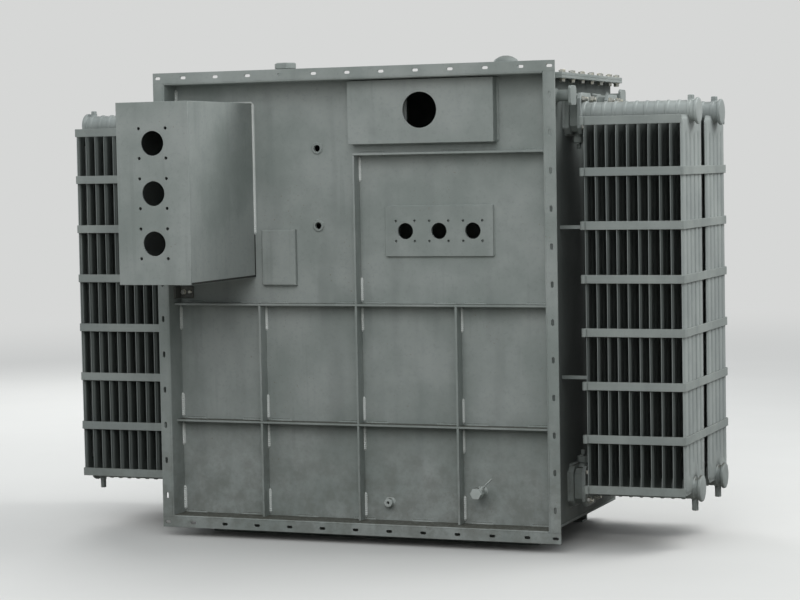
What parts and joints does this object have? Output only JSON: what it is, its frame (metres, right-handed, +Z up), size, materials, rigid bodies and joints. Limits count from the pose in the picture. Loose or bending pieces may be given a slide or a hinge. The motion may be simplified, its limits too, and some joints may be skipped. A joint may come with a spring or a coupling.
{
  "type": "power transformer tank with panel radiators",
  "caption": "Box-shaped oil tank of a power transformer with a slotted bolting frame, projecting cable box, bushing bores and panel radiators on both sides.",
  "frame": {"origin": "on the floor, in the middle of the overall width and depth", "axes": "+Z up; -Y is the front with the bolting frame and cable box; +X to the right of someone facing the front"},
  "size_m": [2.84, 1.535, 2.061],
  "materials": {
    "grey_primer": "matt grey primer on welded steel",
    "valve_casting": "painted casting"
  },
  "bodies": {
    "root": {"back_posts": "grey_primer", "back_rails": "grey_primer", "back_wall": "grey_primer", "base_plate": "grey_primer", "cable_box_ends": "grey_primer", "cable_box_front": "grey_primer", "cable_box_sides": "grey_primer", "cover": "grey_primer", "cover_pad": "grey_primer", "drain_valve": "valve_casting", "earth_boss": "grey_primer", "filler_neck": "grey_primer", "frame_bottom": "grey_primer", "frame_top": "grey_primer", "front_posts": "grey_primer", "front_rails": "grey_primer", "front_wall_corner": "grey_primer", "front_wall_lower": "grey_primer", "front_wall_upper": "grey_primer", "left_frame": "grey_primer", "left_headers_back": "grey_primer", "left_headers_front": "grey_primer", "left_panels_back": "grey_primer", "left_panels_front": "grey_primer", "lifting_bollards": "grey_primer", "lv_plate": "grey_primer", "port_plate": "grey_primer", "port_rim": "grey_primer", "relief_valve": "valve_casting", "right_frame": "grey_primer", "right_headers_back": "grey_primer", "right_headers_front": "grey_primer", "right_panels_back": "grey_primer", "right_panels_front": "grey_primer", "rim_back": "grey_primer", "rim_sides": "grey_primer", "side_walls": "grey_primer", "skid_back": "grey_primer", "skid_front": "grey_primer", "stays": "grey_primer", "straps_back": "grey_primer", "straps_front": "grey_primer", "straps_outer": "grey_primer", "tank_flanges": "grey_primer", "valves": "valve_casting"}
  },
  "joints": []
}
